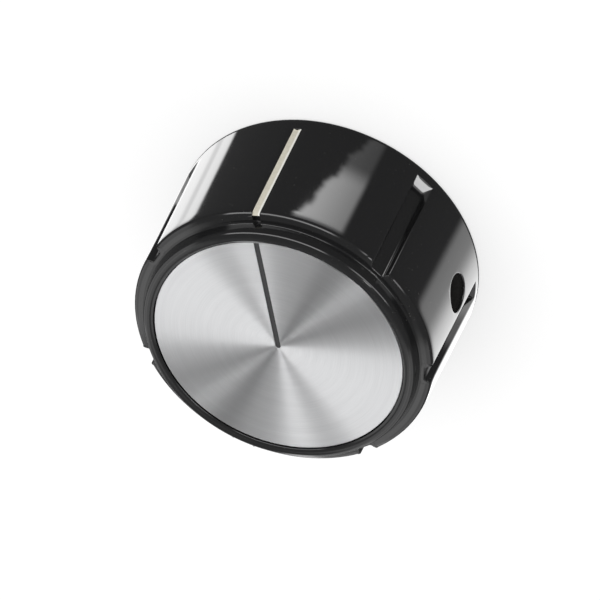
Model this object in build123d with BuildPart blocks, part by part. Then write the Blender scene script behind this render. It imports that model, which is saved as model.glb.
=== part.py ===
from build123d import *
from math import radians, sqrt, tan
import os

# Dial knob for a quarter-inch shaft: a fluted phenolic moulding with a metal face disc.
# The knob stands on its back rim with its face up. Z is the shaft axis, the origin is the
# centre of the back rim, the index line points to +Y and the set screw enters from +X.
# All sizes are in millimetres.

# Side wall and shoulder
base_diameter = 31.75
knob_height = 16.65
side_draft = 0.3
shoulder_radius = 0.5
base_edge_radius = 0.3

# Raised collar round the face
collar_height = 1.35
collar_draft = 0.2
collar_width = 1.05
collar_edge_radius = 0.4
collar_inner_chamfer = 0.12
ledge_width = 1.25
ledge_fall = 0.1

# Flutes, at equal steps from the index line, which takes the place of one flute
flute_positions = 7
flute_width = 2.1
flute_depth = 0.75
flute_lip_chamfer = 0.16
back_rim_height = 1.3
index_angle = 90.0

# Face disc and its engraved line
disc_thickness = 0.6
disc_inset = 0.15
disc_gap = 0.125
disc_edge_chamfer = 0.06
disc_line_width = 0.54
disc_line_depth = 0.2
disc_line_sink = 0.03

# Painted line groove in the side wall
side_line_width = 0.8
side_line_depth = 0.35
side_line_sink = 0.07
side_line_start = 1.65
side_line_end_gap = 0.25

# Hollow underside
skirt_thickness = 1.5
hub_wall = 1.9
hub_recess = 0.8
crown_thickness = 5.4
web_count = 3
web_thickness = 1.8
moulding_draft = 1.0

# Shaft bushing, turned from hexagon bar and moulded into the hub
bore_diameter = 6.4
bushing_wall = 1.8
bushing_hex_step = 0.55
bushing_hex_height = 2.0
bushing_mouth_height = 0.5
bushing_cover = 2.9
bushing_end_wall = 1.1
drill_point_angle = 118.0
mouth_chamfer = 0.4
anchor_start = 1.3
anchor_width = 1.4
anchor_depth = 0.5

# Set screw and its hole
screw_height = 6.35
screw_diameter = 3.5
screw_length = 4.75
screw_tip_gap = 0.25
screw_thread_gap = 0.03
screw_access_gap = 0.235
screw_boss_wall = 1.6
screw_chamfer = 0.3
screw_cup_diameter = 1.7
screw_cup_depth = 0.5
screw_socket_flats = 1.6
screw_socket_depth = 1.9

# Radii and heights that follow from the sizes above
base_radius = base_diameter / 2
wall_top_radius = base_radius - side_draft
collar_foot_radius = wall_top_radius - ledge_width
collar_top_radius = collar_foot_radius - collar_draft
recess_radius = collar_top_radius - collar_width
disc_radius = recess_radius - disc_gap
flute_floor_radius = wall_top_radius - flute_depth
skirt_inner_radius = flute_floor_radius - skirt_thickness
bore_radius = bore_diameter / 2
bushing_radius = bore_radius + bushing_wall
hub_radius = bushing_radius + hub_wall

collar_foot_height = knob_height - collar_height
shoulder_height = collar_foot_height - ledge_fall
disc_top = knob_height - disc_inset
recess_floor = disc_top - disc_thickness
cavity_ceiling = recess_floor - crown_thickness
bushing_top = recess_floor - bushing_cover
cavity_lean = cavity_ceiling * tan(radians(moulding_draft))
drill_point_height = bore_radius / tan(radians(drill_point_angle / 2))
bore_end = bushing_top - bushing_end_wall - drill_point_height

screw_radius = screw_diameter / 2
tapped_radius = screw_radius + screw_thread_gap
access_radius = screw_radius + screw_access_gap
boss_width = 2 * (access_radius + screw_boss_wall)
screw_tip = bore_radius + screw_tip_gap
screw_plane = Plane(origin=(0, 0, screw_height), x_dir=(0, 1, 0), z_dir=(1, 0, 0))

flute_step = 360 / flute_positions
wall_lean = side_draft / shoulder_height

os.makedirs("parts", exist_ok=True)


def wall_radius(height):
    """Radius of the side wall at a height above the back rim."""
    return base_radius - wall_lean * height


# Outer half-section of the bushing: turned barrel with an anchor groove
with BuildSketch(Plane.XZ) as barrel_section:
    with BuildLine():
        Polyline(
            (0, bushing_mouth_height),
            (bushing_radius, bushing_mouth_height),
            (bushing_radius, bushing_mouth_height + anchor_start),
            (bushing_radius - anchor_depth, bushing_mouth_height + anchor_start),
            (bushing_radius - anchor_depth, bushing_mouth_height + anchor_start + anchor_width),
            (bushing_radius, bushing_mouth_height + anchor_start + anchor_width),
            (bushing_radius, bushing_top),
            (0, bushing_top),
            close=True,
        )
    make_face()

# Outside of the bushing, which is also the space that it fills in the hub
with BuildPart() as bushing_envelope:
    revolve(barrel_section.sketch, axis=Axis.Z)
    with BuildSketch(Plane.XY.offset(bushing_top - bushing_hex_height)):
        RegularPolygon(bushing_radius + bushing_hex_step, 6, major_radius=False)
    extrude(amount=bushing_hex_height)

# Space of one flute: its floor is upright and its bevelled lips follow the leaning wall
with BuildPart() as flute_space:
    for height in (back_rim_height, knob_height):
        lip_start = flute_width / 2
        lip_end = lip_start + flute_lip_chamfer
        lip_reach = sqrt(wall_radius(height) ** 2 - lip_end ** 2)
        with BuildSketch(Plane.XY.offset(height)):
            with BuildLine():
                Polyline(
                    (flute_floor_radius, 0),
                    (flute_floor_radius, lip_start),
                    (lip_reach - flute_lip_chamfer, lip_start),
                    (lip_reach, lip_end),
                    (base_diameter, lip_end),
                    (base_diameter, 0),
                )
                mirror(about=Plane.XZ)
            make_face()
    loft(ruled=True)

# Moulded body
with BuildPart() as knob_body:
    # Side wall, ledge and collar in one turned outline
    with BuildSketch(Plane.XZ) as outline:
        with BuildLine():
            Polyline(
                (0, 0),
                (base_radius, 0),
                (wall_top_radius, shoulder_height),
                (collar_foot_radius, collar_foot_height),
                (collar_top_radius, knob_height),
                (0, knob_height),
                close=True,
            )
        make_face()
        rims = outline.vertices().sort_by(Axis.X)[-4:].sort_by(Axis.Z)
        fillet(rims[0], base_edge_radius)
        fillet(rims[1], shoulder_radius)
        fillet(rims[3], collar_edge_radius)
    revolve(axis=Axis.Z)

    # Flutes, open towards the face and stopped by the back rim
    with PolarLocations(
        0,
        flute_positions - 1,
        start_angle=index_angle + flute_step,
        angular_range=360 - 2 * flute_step,
        endpoint=True,
    ):
        add(flute_space.part, mode=Mode.SUBTRACT)

    # Recess for the face disc
    with BuildSketch(Plane.XY.offset(recess_floor)):
        Circle(recess_radius)
    extrude(amount=disc_thickness + disc_inset, mode=Mode.SUBTRACT)
    mouth = knob_body.faces().sort_by(Axis.Z)[-1].edges().sort_by(SortBy.RADIUS)[0]
    chamfer(mouth, collar_inner_chamfer)

    # Line groove down the wall and over the ledge, at the index position
    with BuildSketch(Plane.YZ):
        with BuildLine():
            Polyline(
                (wall_radius(side_line_start) - side_line_depth, side_line_start),
                (wall_top_radius - side_line_depth, shoulder_height - side_line_depth),
                (collar_foot_radius, shoulder_height - side_line_depth),
                (collar_foot_radius, knob_height),
                (base_radius + side_line_depth, knob_height),
                (base_radius + side_line_depth, side_line_start),
                close=True,
            )
        make_face()
    extrude(amount=side_line_width / 2, both=True, mode=Mode.SUBTRACT)

    # Hollow between skirt and hub, drafted towards its ceiling
    with BuildSketch(Plane.XZ):
        with BuildLine():
            Polyline(
                (0, 0),
                (skirt_inner_radius, 0),
                (skirt_inner_radius - cavity_lean, cavity_ceiling),
                (hub_radius + cavity_lean, cavity_ceiling),
                (hub_radius, hub_recess),
                (0, hub_recess),
                close=True,
            )
        make_face()
    revolve(axis=Axis.Z, mode=Mode.SUBTRACT)

    # Webs and the boss of the set screw, from hub to skirt
    web_root = bushing_radius + hub_wall / 2
    web_reach = skirt_inner_radius + skirt_thickness / 2 - web_root
    with BuildSketch(Plane.XY.offset(hub_recess)):
        with PolarLocations(web_root, web_count, start_angle=0):
            Rectangle(web_reach, web_thickness, align=(Align.MIN, Align.CENTER))
        with Locations((web_root, 0)):
            Rectangle(web_reach, boss_width, align=(Align.MIN, Align.CENTER))
    extrude(amount=cavity_ceiling - hub_recess)

    # Seat of the bushing and the open hole to the set screw
    add(bushing_envelope.part, mode=Mode.SUBTRACT)
    with BuildSketch(screw_plane.offset(bore_radius)):
        Circle(access_radius)
    extrude(amount=base_radius, mode=Mode.SUBTRACT)

# Spun disc with the engraved line from its edge to its centre
with BuildPart() as face_disc:
    with BuildSketch(Plane.XY.offset(recess_floor)):
        Circle(disc_radius)
    extrude(amount=disc_thickness)
    chamfer(face_disc.faces().sort_by(Axis.Z)[-1].edges(), disc_edge_chamfer)
    with BuildSketch(Plane.XY.offset(disc_top)) as disc_line_shape:
        Circle(disc_line_width / 2)
        Rectangle(disc_line_width, disc_radius + disc_gap, align=(Align.CENTER, Align.MIN))
    extrude(amount=-disc_line_depth, mode=Mode.SUBTRACT)

# Paint in the engraved line, cut round at the disc's edge
with BuildPart() as face_disc_line:
    with BuildSketch(Plane.XY.offset(disc_top - disc_line_depth)):
        Circle(disc_line_width / 2)
        Rectangle(disc_line_width, disc_radius + disc_gap, align=(Align.CENTER, Align.MIN))
        Circle(disc_radius - disc_edge_chamfer, mode=Mode.INTERSECT)
    extrude(amount=disc_line_depth - disc_line_sink)

# Paint in the side groove, sunk a little below the wall
with BuildPart() as side_index_line:
    with BuildSketch(Plane.YZ):
        with BuildLine():
            line_end = shoulder_height - side_line_end_gap
            Polyline(
                (wall_radius(side_line_start) - side_line_depth, side_line_start),
                (wall_radius(line_end) - side_line_depth, line_end),
                (wall_radius(line_end) - side_line_sink, line_end),
                (wall_radius(side_line_start) - side_line_sink, side_line_start),
                close=True,
            )
        make_face()
    extrude(amount=side_line_width / 2, both=True)

# Brass bushing with a drilled blind bore and a tapped cross hole
with BuildPart() as shaft_bushing:
    add(bushing_envelope.part)
    with BuildSketch(Plane.XZ):
        with BuildLine():
            Polyline(
                (0, bushing_mouth_height),
                (bore_radius + mouth_chamfer, bushing_mouth_height),
                (bore_radius, bushing_mouth_height + mouth_chamfer),
                (bore_radius, bore_end),
                (0, bore_end + drill_point_height),
                close=True,
            )
        make_face()
    revolve(axis=Axis.Z, mode=Mode.SUBTRACT)
    with BuildSketch(screw_plane):
        Circle(tapped_radius)
    extrude(amount=base_radius, mode=Mode.SUBTRACT)

# Cup-point set screw, its tip just clear of the bore
with BuildPart() as set_screw:
    with BuildSketch(screw_plane.offset(screw_tip)):
        Circle(screw_radius)
    extrude(amount=screw_length)
    ends = set_screw.edges().filter_by(GeomType.CIRCLE)
    chamfer(ends, screw_chamfer)
    with BuildSketch(screw_plane.offset(screw_tip)):
        Circle(screw_cup_diameter / 2)
    extrude(amount=screw_cup_depth, taper=30, mode=Mode.SUBTRACT)
    with BuildSketch(screw_plane.offset(screw_tip + screw_length)):
        RegularPolygon(screw_socket_flats / 2, 6, major_radius=False)
    extrude(amount=-screw_socket_depth, mode=Mode.SUBTRACT)

pieces = {
    "knob_body": knob_body,
    "face_disc": face_disc,
    "face_disc_line": face_disc_line,
    "side_index_line": side_index_line,
    "shaft_bushing": shaft_bushing,
    "set_screw": set_screw,
}
for name, piece in pieces.items():
    piece.part.label = name
    export_step(piece.part, f"parts/{name}.step")
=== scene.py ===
from math import cos, pi, radians, sin, tan

import bpy
import numpy as np
from bpy.props import FloatProperty, FloatVectorProperty, PointerProperty
from mathutils import Matrix, Vector


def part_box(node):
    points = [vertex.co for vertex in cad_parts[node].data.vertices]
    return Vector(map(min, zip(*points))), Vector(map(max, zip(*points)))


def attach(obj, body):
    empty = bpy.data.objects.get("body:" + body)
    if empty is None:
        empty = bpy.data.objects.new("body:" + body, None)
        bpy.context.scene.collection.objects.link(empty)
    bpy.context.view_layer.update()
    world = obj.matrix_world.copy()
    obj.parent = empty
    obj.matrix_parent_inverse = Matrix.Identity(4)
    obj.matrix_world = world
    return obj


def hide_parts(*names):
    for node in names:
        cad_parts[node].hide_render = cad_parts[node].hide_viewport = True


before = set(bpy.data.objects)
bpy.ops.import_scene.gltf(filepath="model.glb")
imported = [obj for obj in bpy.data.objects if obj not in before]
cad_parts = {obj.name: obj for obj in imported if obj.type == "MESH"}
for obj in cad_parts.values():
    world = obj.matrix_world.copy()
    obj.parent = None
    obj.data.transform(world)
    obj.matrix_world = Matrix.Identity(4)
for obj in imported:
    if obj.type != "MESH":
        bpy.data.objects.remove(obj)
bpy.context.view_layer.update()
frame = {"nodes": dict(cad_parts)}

bl_info = {
    "name": "Fluted dial knob",
    "version": (1, 0, 0),
    "blender": (4, 5, 0),
    "location": "View3D > Sidebar > Dial Knob",
    "description": "Dresses a fluted dial knob with a spun metal face, painted lines and a set screw",
    "category": "Object",
}

body_low, body_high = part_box("knob_body")
disc_low, disc_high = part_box("face_disc")

BODY = "root"
IMAGE_SIZE = 600
FLUTE_POSITIONS = 7
WEBS = 3
SHARP_ANGLE = radians(40)
# The body's mesh: points along a side of the square block round the screw's hole, the block's half angle at
# the bushing's seat, the angle that a side of the screw's boss or of a web takes there, and the columns of
# half a flute, of the painted groove's floor from its middle out, and of the wall from one cut to the next.
BLOCK = 13
SEAT_BLOCK_ANGLE = radians(27)
SEAT_FADE_ANGLE = radians(3)
FLUTE_COLUMNS = 17
LINE_COLUMNS = 5
LOBE_COLUMNS = 16
# How far the screw's hole is drawn towards the dust colour, partly as dust and partly as painted light,
# and where the painted highlight along one edge of the cream paint starts and how wide it is, as shares of
# the line's width from its middle.
HOLE_DUST_AND_LIGHT = 0.1
PAINTED_HIGHLIGHT_START = 0.2
PAINTED_HIGHLIGHT_WIDTH = 0.1

FLOOR_SIDE = 3.0
FLOOR_TONE = (0.5, 0.5, 0.5, 1)
WHITE = (1, 1, 1, 1)
TENT_RADIUS = 0.6
RING_REACH = 0.43
FLOOR_CARD_HEIGHT = 0.0001
RING_CARD_HEIGHT = 0.00005
LAMP_SIZE = 0.5
LAMP_PLACE = (-0.15, 0.25, 0.6)
CLIP_RANGE = (0.05, 20)

# Bands of the studio's light: where each starts and ends, and how wide the soft step at either end is,
# all in degrees. On the tent they are turns from the camera and slopes from the vertical of the normal
# that mirrors them to the camera.
WING_SLOPE = (5.5, 44, 3, 8)
LOW_SLOPE = (0.6, 7, 0.6, 3)
SWEEP_TURN = (57, 116, 6, 6)
SHADE_TURN = (113, 152, 6, 5)
FAR_SHADE_TURN = (113, 138, 6, 8)
NARROW_TURN = (142, 154, 4, 4)
THIN_TURN = (15, 25, 3, 3)
FLUTE_END_TURN = (19, 22.9, 1, 1)
FLUTE_END_SLOPE = (30.7, 34.7, 1, 1)
ARC_SLOPE = (44, 58, 2, 2)
LEFT_ARC_TURN = (-42, 0, 4, 5)
RIGHT_ARC_TURN = (12, 33, 4, 4)
# On the side wall they are turns from the camera. RISE, FADE and TOP are shares of the wall's height. The
# left panel falls off towards the rim and has a dimmer gap. The middle one has a slanting, jagged edge.
LEFT_PANEL_END = (-57.7, 2)
LEFT_PANEL_GAP = (-67, -63.5, 3, 2)
LEFT_PANEL_DIP = 0.8
LEFT_PANEL_BRIM = -60
LEFT_PANEL_FALL = 0.12
LEFT_PANEL_LEAST = 1.8
MIDDLE_EDGE = -7.5
MIDDLE_SLANT = 13
MIDDLE_RISE = 0.3
MIDDLE_BLUR = 3
MIDDLE_JAGS = ((0.7, 19, 0), (0.45, 43, 1), (0.35, 101, 0))
MIDDLE_END = (2.2, 2.5)
MIDDLE_BRIM = -9
MIDDLE_FALL = 0.17
MIDDLE_LOW = 0.2
MIDDLE_FADE = (0.39, 0.2)
RIGHT_PANEL = (43, 5)
RIGHT_EDGE = (56.5, 11)
FLOOR_CARD_TOP = 1.05
WALL_TOP = (FLOOR_CARD_TOP, 0.1)
# The floor card's grid, as first, last and count: heights on the wall, heights above it and turns.
WALL_RISES = (0.02, FLOOR_CARD_TOP, 34)
RISES_ABOVE = (1.2, 30, 12)
WALL_TURNS = (-89, 89, 357)
# Round the knob's foot, the floor's white starts at this reach in metres and at this turn.
WHITE_REACH = (0.25, 0.3)
WHITE_BEHIND = (140, 30)


def size(default, name, description):
    """A length property in metres."""
    return FloatProperty(name=name, description=description, default=default, unit="LENGTH", precision=5)


def angle(degrees, name, description):
    """An angle property, given in degrees."""
    return FloatProperty(name=name, description=description, default=radians(degrees), subtype="ANGLE")


def colour(default, name, description):
    """A colour property in linear red, green and blue."""
    return FloatVectorProperty(
        name=name, description=description, default=default, subtype="COLOR", size=3, min=0, max=1
    )


def amount(default, name, description):
    """A plain number property."""
    return FloatProperty(name=name, description=description, default=default)


class KnobBody(bpy.types.PropertyGroup):
    """Sizes of the moulded body."""

    base_radius: size(body_high.x, "Base radius", "Radius of the side wall at the back rim")
    height: size(body_high.z, "Height", "From the back rim to the top of the collar")
    side_draft: size(0.0003, "Side draft", "How far the side wall leans in on its way up")
    shoulder_radius: size(0.0005, "Shoulder", "Rounding between the side wall and the ledge")
    base_edge_radius: size(0.0003, "Back edge", "Rounding of the back rim's outer edge")
    collar_height: size(0.00135, "Collar height", "Rise of the collar above its foot")
    collar_crown: size(0.00001, "Collar crown", "Rise of the collar's top in its middle")
    collar_draft: size(0.0002, "Collar draft", "How far the collar leans in on its way up")
    collar_width: size(0.00105, "Collar width", "Width of the collar's top")
    collar_edge_radius: size(0.0004, "Collar edge", "Rounding of the collar's outer edge")
    collar_inner_radius: size(0.00012, "Collar inner edge", "Rounding of the collar's inner edge")
    collar_foot_radius: size(0.00012, "Collar foot", "Rounding where the collar leaves the ledge")
    ledge_width: size(0.00125, "Ledge width", "From the side wall to the collar's foot")
    ledge_fall: size(0.0001, "Ledge fall", "How far the ledge falls outwards")
    recess_depth: size(0.00075, "Recess", "Depth of the recess that holds the face disc")
    flute_width: size(0.00204, "Flute width", "Between the side faces of a flute at the wall")
    flute_floor_width: size(0.0017, "Flute floor", "Between the side faces of a flute at its floor")
    flute_end_lean: angle(32, "Flute end", "How far a flute's end leans back from level")
    flute_depth: size(0.00075, "Flute depth", "Depth of a flute at the ledge")
    flute_lip: size(0.00016, "Flute lip", "Rounding between a flute's side and the wall")
    flute_corner: size(0.00028, "Flute corner", "Rounding between a flute's side and its floor")
    hollow_draft: angle(1, "Hollow draft", "Lean of the hollow's walls")
    edge_rounding: size(0.0001, "Edges", "Rounding of the flutes' ends and top edges")
    back_rim: size(0.0013, "Back rim", "Height at which the flutes end")
    line_width: size(0.0008, "Line width", "Width of the painted groove")
    line_depth: size(0.00035, "Line depth", "Depth of the painted groove")
    line_lip: size(0.00006, "Line lip", "Rounding of the painted groove's edges")
    line_start: size(0.00165, "Line start", "Height at which the painted groove ends")
    skirt: size(0.0015, "Skirt", "Wall behind the flutes")
    hub_radius: size(0.0069, "Hub radius", "Outer radius of the hub")
    hub_recess: size(0.0008, "Hub recess", "How far the hub and webs stay above the back rim")
    ceiling: size(0.0105, "Hollow", "Depth of the hollow")
    hollow_rounding: size(0.0004, "Hollow rounding", "Rounding of the hollow's ceiling")
    inner_edge: size(0.00015, "Inner edges", "Rounding of the inner rim and the hub")
    web_width: size(0.0018, "Web width", "Thickness of a web")
    boss_width: size(0.00717, "Boss width", "Width of the boss round the set screw")
    seat_radius: size(0.005, "Seat radius", "Seat of the bushing's barrel")
    seat_top: size(0.013, "Seat top", "Height of the bushing's inner end")
    anchor_low: size(0.0018, "Anchor low", "Lower side of the bushing's anchor groove")
    anchor_high: size(0.0032, "Anchor high", "Upper side of the bushing's anchor groove")
    anchor_depth: size(0.0005, "Anchor depth", "Depth of the bushing's anchor groove")
    hexagon_low: size(0.011, "Hexagon", "Height at which the bushing's hexagon starts")
    hexagon_radius: size(0.00555, "Hexagon radius", "From the axis to a flat of the hexagon")
    screw_height: size(0.00635, "Screw height", "Height of the set screw's axis")
    hole_radius: size(0.001985, "Hole radius", "Radius of the way in to the set screw")
    hole_edge: size(0.00012, "Hole edge", "Rounding of the hole's mouth")
    hole_block: size(0.0023, "Hole surround", "Half the side of the mesh block round the hole")
    fan_width: size(0.0003, "Fan", "Extra width over which the ledge's mesh fans out beside a flute")
    web_side: size(0.00005, "Web side", "Half the width of a web's side in plan")


class KnobFace(bpy.types.PropertyGroup):
    """Sizes of the face disc, of its engraved line and of the paint in both lines."""

    disc_line_width: size(0.00054, "Disc line", "Width of the engraved line")
    disc_line_depth: size(0.0002, "Disc line depth", "Depth of the engraved line")
    disc_line_end: size(0.00009, "Disc line end", "From the engraved line's end to the disc's edge")
    disc_bevel: size(0.00004, "Disc bevel", "Bevel of the disc's edges and of its engraved line")
    paint_gap: size(0.000004, "Paint gap", "Between the paint and its groove")
    paint_rise: size(0.00003, "Paint edge", "Depth of the paint's face at the groove's sides")
    paint_sink: size(0.00008, "Paint middle", "Depth of the paint's face in the middle")
    paint_dip: size(0.0002, "Paint dip", "How far the end of the cream paint is drawn in at its middle")
    paint_fall_length: size(0.0006, "Paint fall", "Last stretch of the cream paint, which falls away")
    side_line_gap: size(0.00005, "Side line gap", "From the end of the cream paint to the ledge")


class KnobFinish(bpy.types.PropertyGroup):
    """Colours of the knob's finishes, and of the painted highlight on one edge of the cream paint."""

    phenolic: colour((0.011, 0.011, 0.0115), "Phenolic", "Black moulding of the body")
    # The dust colour is also what the screw's hole is drawn towards, as dust and as painted light.
    dust: colour((0.30, 0.29, 0.27), "Dust", "Fine dust that lies on the moulding")
    aluminium: colour((0.86, 0.865, 0.875), "Aluminium", "Spun face disc")
    black_paint: colour((0.034, 0.034, 0.036), "Black paint", "Fill of the engraved line")
    cream_paint: colour((0.76, 0.72, 0.60), "Cream paint", "Fill of the line on the side wall")
    # A painted highlight: the pale colour along one edge of the cream paint, where light would catch it.
    cream_paint_highlight: colour((0.98, 0.97, 0.90), "Pale paint", "Thick edge of the cream paint")
    brass: colour((0.80, 0.60, 0.28), "Brass", "Turned shaft bushing")
    oxide: colour((0.05, 0.05, 0.055), "Black oxide", "Set screw")


class KnobStage(bpy.types.PropertyGroup):
    """Camera and light."""

    azimuth: angle(30.3, "Azimuth", "Camera's turn from the index line towards the set screw")
    elevation: angle(46.7, "Elevation", "Camera's height above the face")
    roll: angle(-153.2, "Roll", "Turn of the picture about the line of sight")
    distance: size(0.777, "Distance", "From the camera to the face disc")
    pixels_per_metre: amount(10083.0, "Pixels per metre", "Scale of the picture at the face disc")
    face_x: amount(278.0, "Face across", "Picture column of the disc's centre")
    face_y: amount(346.0, "Face down", "Picture row of the disc's centre")
    world_level: amount(0.85, "Room light", "Brightness of the room")
    floor_level: amount(0.60, "Floor white", "White added to the floor as a background")
    floor_fill: amount(0.25, "Floor fill", "Light that the floor gives back to the knob")
    floor_drop: size(0.00003, "Floor drop", "From the back rim down to the floor")
    dark_level: amount(0.13, "Dark card", "Brightness of the dark cards round the knob")
    tent_level: amount(0.21, "Tent", "Brightness of the tent over the knob")
    sweep_left: amount(0.8, "Left sweep", "Brightness of the tent's left panel")
    sweep_right: amount(0.72, "Right sweep", "Brightness of the tent's right panel")
    low_sweep: amount(0.75, "Low sweep", "Brightness of both panels near the mirrored view")
    shade: amount(1.1, "Shade", "Brightness of the tent beyond its right panel")
    far_shade: amount(0.8, "Far shade", "Brightness of the tent beyond its left panel")
    narrow: amount(3.0, "Narrow light", "Brightness of the narrow light that makes the disc's lower streak")
    thin: amount(0.15, "Thin light", "Brightness of the thin light that makes the disc's faint streak")
    flute_end: amount(11.0, "Flute end", "Brightness of the light that the nearest flute's end mirrors")
    left_arc: amount(3.5, "Left arc", "Brightness of the arc on the collar's edge, left of the camera")
    right_arc: amount(2.5, "Right arc", "Brightness of the same arc, right of the camera")
    left_panel: amount(3.9, "Left panel", "Brightness of the side wall's left light")
    middle_panel: amount(4.2, "Middle panel", "Brightness of the side wall's middle light")
    right_panel: amount(1.15, "Right panel", "Brightness of the side wall's right light")
    right_edge: amount(1.4, "Right edge", "Brightness added to the right light near the rim")
    lamp_power: amount(0.6, "Lamp power", "Power of the overhead softbox")


def new_group(name, inputs, outputs):
    """A shader node group with named float, colour or vector sockets and its end nodes."""
    group = bpy.data.node_groups.new(name, "ShaderNodeTree")
    for label, kind, default in inputs:
        made = group.interface.new_socket(label, in_out="INPUT", socket_type=kind)
        if default is not None:
            made.default_value = default
    for label, kind in outputs:
        group.interface.new_socket(label, in_out="OUTPUT", socket_type=kind)
    return group, group.nodes.new("NodeGroupInput"), group.nodes.new("NodeGroupOutput")


def new_material(name):
    """A material with its Principled shader and object coordinates."""
    material = bpy.data.materials.new(name)
    material.use_nodes = True
    nodes = material.node_tree.nodes
    shader = nodes["Principled BSDF"]
    place = nodes.new("ShaderNodeTexCoord")
    return material, nodes, material.node_tree.links, shader, place


def noise(tree, vector, scale, detail=2.0, roughness=0.5):
    """A noise texture's factor on a vector."""
    made = tree.nodes.new("ShaderNodeTexNoise")
    made.inputs["Scale"].default_value = scale
    made.inputs["Detail"].default_value = detail
    made.inputs["Roughness"].default_value = roughness
    tree.links.new(vector, made.inputs["Vector"])
    return made.outputs["Fac"]


def shared_group(name, build):
    """A node group that is built once and then found by its name."""
    return bpy.data.node_groups.get(name) or build(name)


def build_specks(name):
    """Dust: a mask of fine specks on clouded patches, from a place, a scale and an amount."""
    group, given, out = new_group(
        name,
        (("Place", "NodeSocketVector", None), ("Scale", "NodeSocketFloat", 5000.0),
         ("Amount", "NodeSocketFloat", 0.5)),
        (("Mask", "NodeSocketFloat"),),
    )
    fine = noise(group, given.outputs["Place"], scale=1)
    group.links.new(given.outputs["Scale"], fine.node.inputs["Scale"])
    cloud = noise(group, given.outputs["Place"], scale=260, detail=3)
    specks, patches = ranged(group, fine, 0.70, 0.80, 0, 1), ranged(group, cloud, 0.35, 0.65, 0, 1)
    lying = calculated(group, "MULTIPLY", specks, patches)
    group.links.new(calculated(group, "MULTIPLY", lying, given.outputs["Amount"]), out.inputs["Mask"])
    return group


def build_grain(name):
    """Grain: an even fine unevenness between nought and one, from a place and a scale."""
    group, given, out = new_group(
        name,
        (("Place", "NodeSocketVector", None), ("Scale", "NodeSocketFloat", 3000.0)),
        (("Mask", "NodeSocketFloat"),),
    )
    fine = noise(group, given.outputs["Place"], scale=1, detail=3, roughness=0.6)
    group.links.new(given.outputs["Scale"], fine.node.inputs["Scale"])
    group.links.new(ranged(group, fine, 0.3, 0.7, 0, 1), out.inputs["Mask"])
    return group


def effect(tree, name, build, place, **values):
    """A shared group placed in a material on a place with its own values; its mask."""
    made = tree.nodes.new("ShaderNodeGroup")
    made.node_tree = shared_group(name, build)
    tree.links.new(place, made.inputs["Place"])
    for label, value in values.items():
        made.inputs[label].default_value = value
    return made.outputs["Mask"]


def ranged(tree, value, low, high, to_low, to_high):
    """A value moved from one range to another, with its ends held."""
    made = tree.nodes.new("ShaderNodeMapRange")
    for name, number in (("From Min", low), ("From Max", high), ("To Min", to_low), ("To Max", to_high)):
        made.inputs[name].default_value = number
    tree.links.new(value, made.inputs["Value"])
    return made.outputs["Result"]


def mixed(tree, factor, first, second):
    """Two colours mixed; each is a socket or a colour."""
    made = tree.nodes.new("ShaderNodeMix")
    made.data_type = "RGBA"
    tree.links.new(factor, made.inputs[0])
    for given, target in ((first, made.inputs[6]), (second, made.inputs[7])):
        if isinstance(given, bpy.types.NodeSocket):
            tree.links.new(given, target)
        else:
            target.default_value = (*given, 1)
    return made.outputs[2]


def calculated(tree, operation, first, second=0.0):
    """A math node's result; each value is a socket or a number."""
    made = tree.nodes.new("ShaderNodeMath")
    made.operation = operation
    for given, target in ((first, made.inputs[0]), (second, made.inputs[1])):
        if isinstance(given, bpy.types.NodeSocket):
            tree.links.new(given, target)
        else:
            target.default_value = given
    return made.outputs[0]


def bumped(tree, shader, height, distance, strength):
    """A bump from a height map on the shader's normal."""
    made = tree.nodes.new("ShaderNodeBump")
    made.inputs["Distance"].default_value = distance
    made.inputs["Strength"].default_value = strength
    tree.links.new(height, made.inputs["Height"])
    tree.links.new(made.outputs["Normal"], shader.inputs["Normal"])


def phenolic_material(finish):
    """Glossy black moulding with a faint swell, fine dust, slightly dulled patches, and dust and painted
    light in the screw's hole.
    """
    material, nodes, links, shader, place = new_material("moulded_phenolic")
    tree = material.node_tree
    spot = place.outputs["Object"]
    swell = noise(tree, spot, scale=420)
    haze = noise(tree, spot, scale=160, detail=4, roughness=0.6)
    dust = effect(tree, "dust_specks", build_specks, spot, Scale=5200.0, Amount=0.5)
    # The "dust" attribute marks the screw's hole, drawn towards the dust colour partly as dust and partly as
    # painted light for the light that hardly reaches inside.
    deep = nodes.new("ShaderNodeAttribute")
    deep.attribute_name = "dust"
    dust_and_hole_light = calculated(tree, "MAXIMUM", dust, calculated(tree, "MULTIPLY", deep.outputs["Fac"], HOLE_DUST_AND_LIGHT))
    links.new(mixed(tree, dust_and_hole_light, finish.phenolic, finish.dust), shader.inputs["Base Color"])
    links.new(ranged(tree, haze, 0.3, 0.75, 0.055, 0.12), shader.inputs["Roughness"])
    bumped(tree, shader, swell, distance=0.00001, strength=0.25)
    shader.inputs["IOR"].default_value = 1.6
    return material


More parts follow.
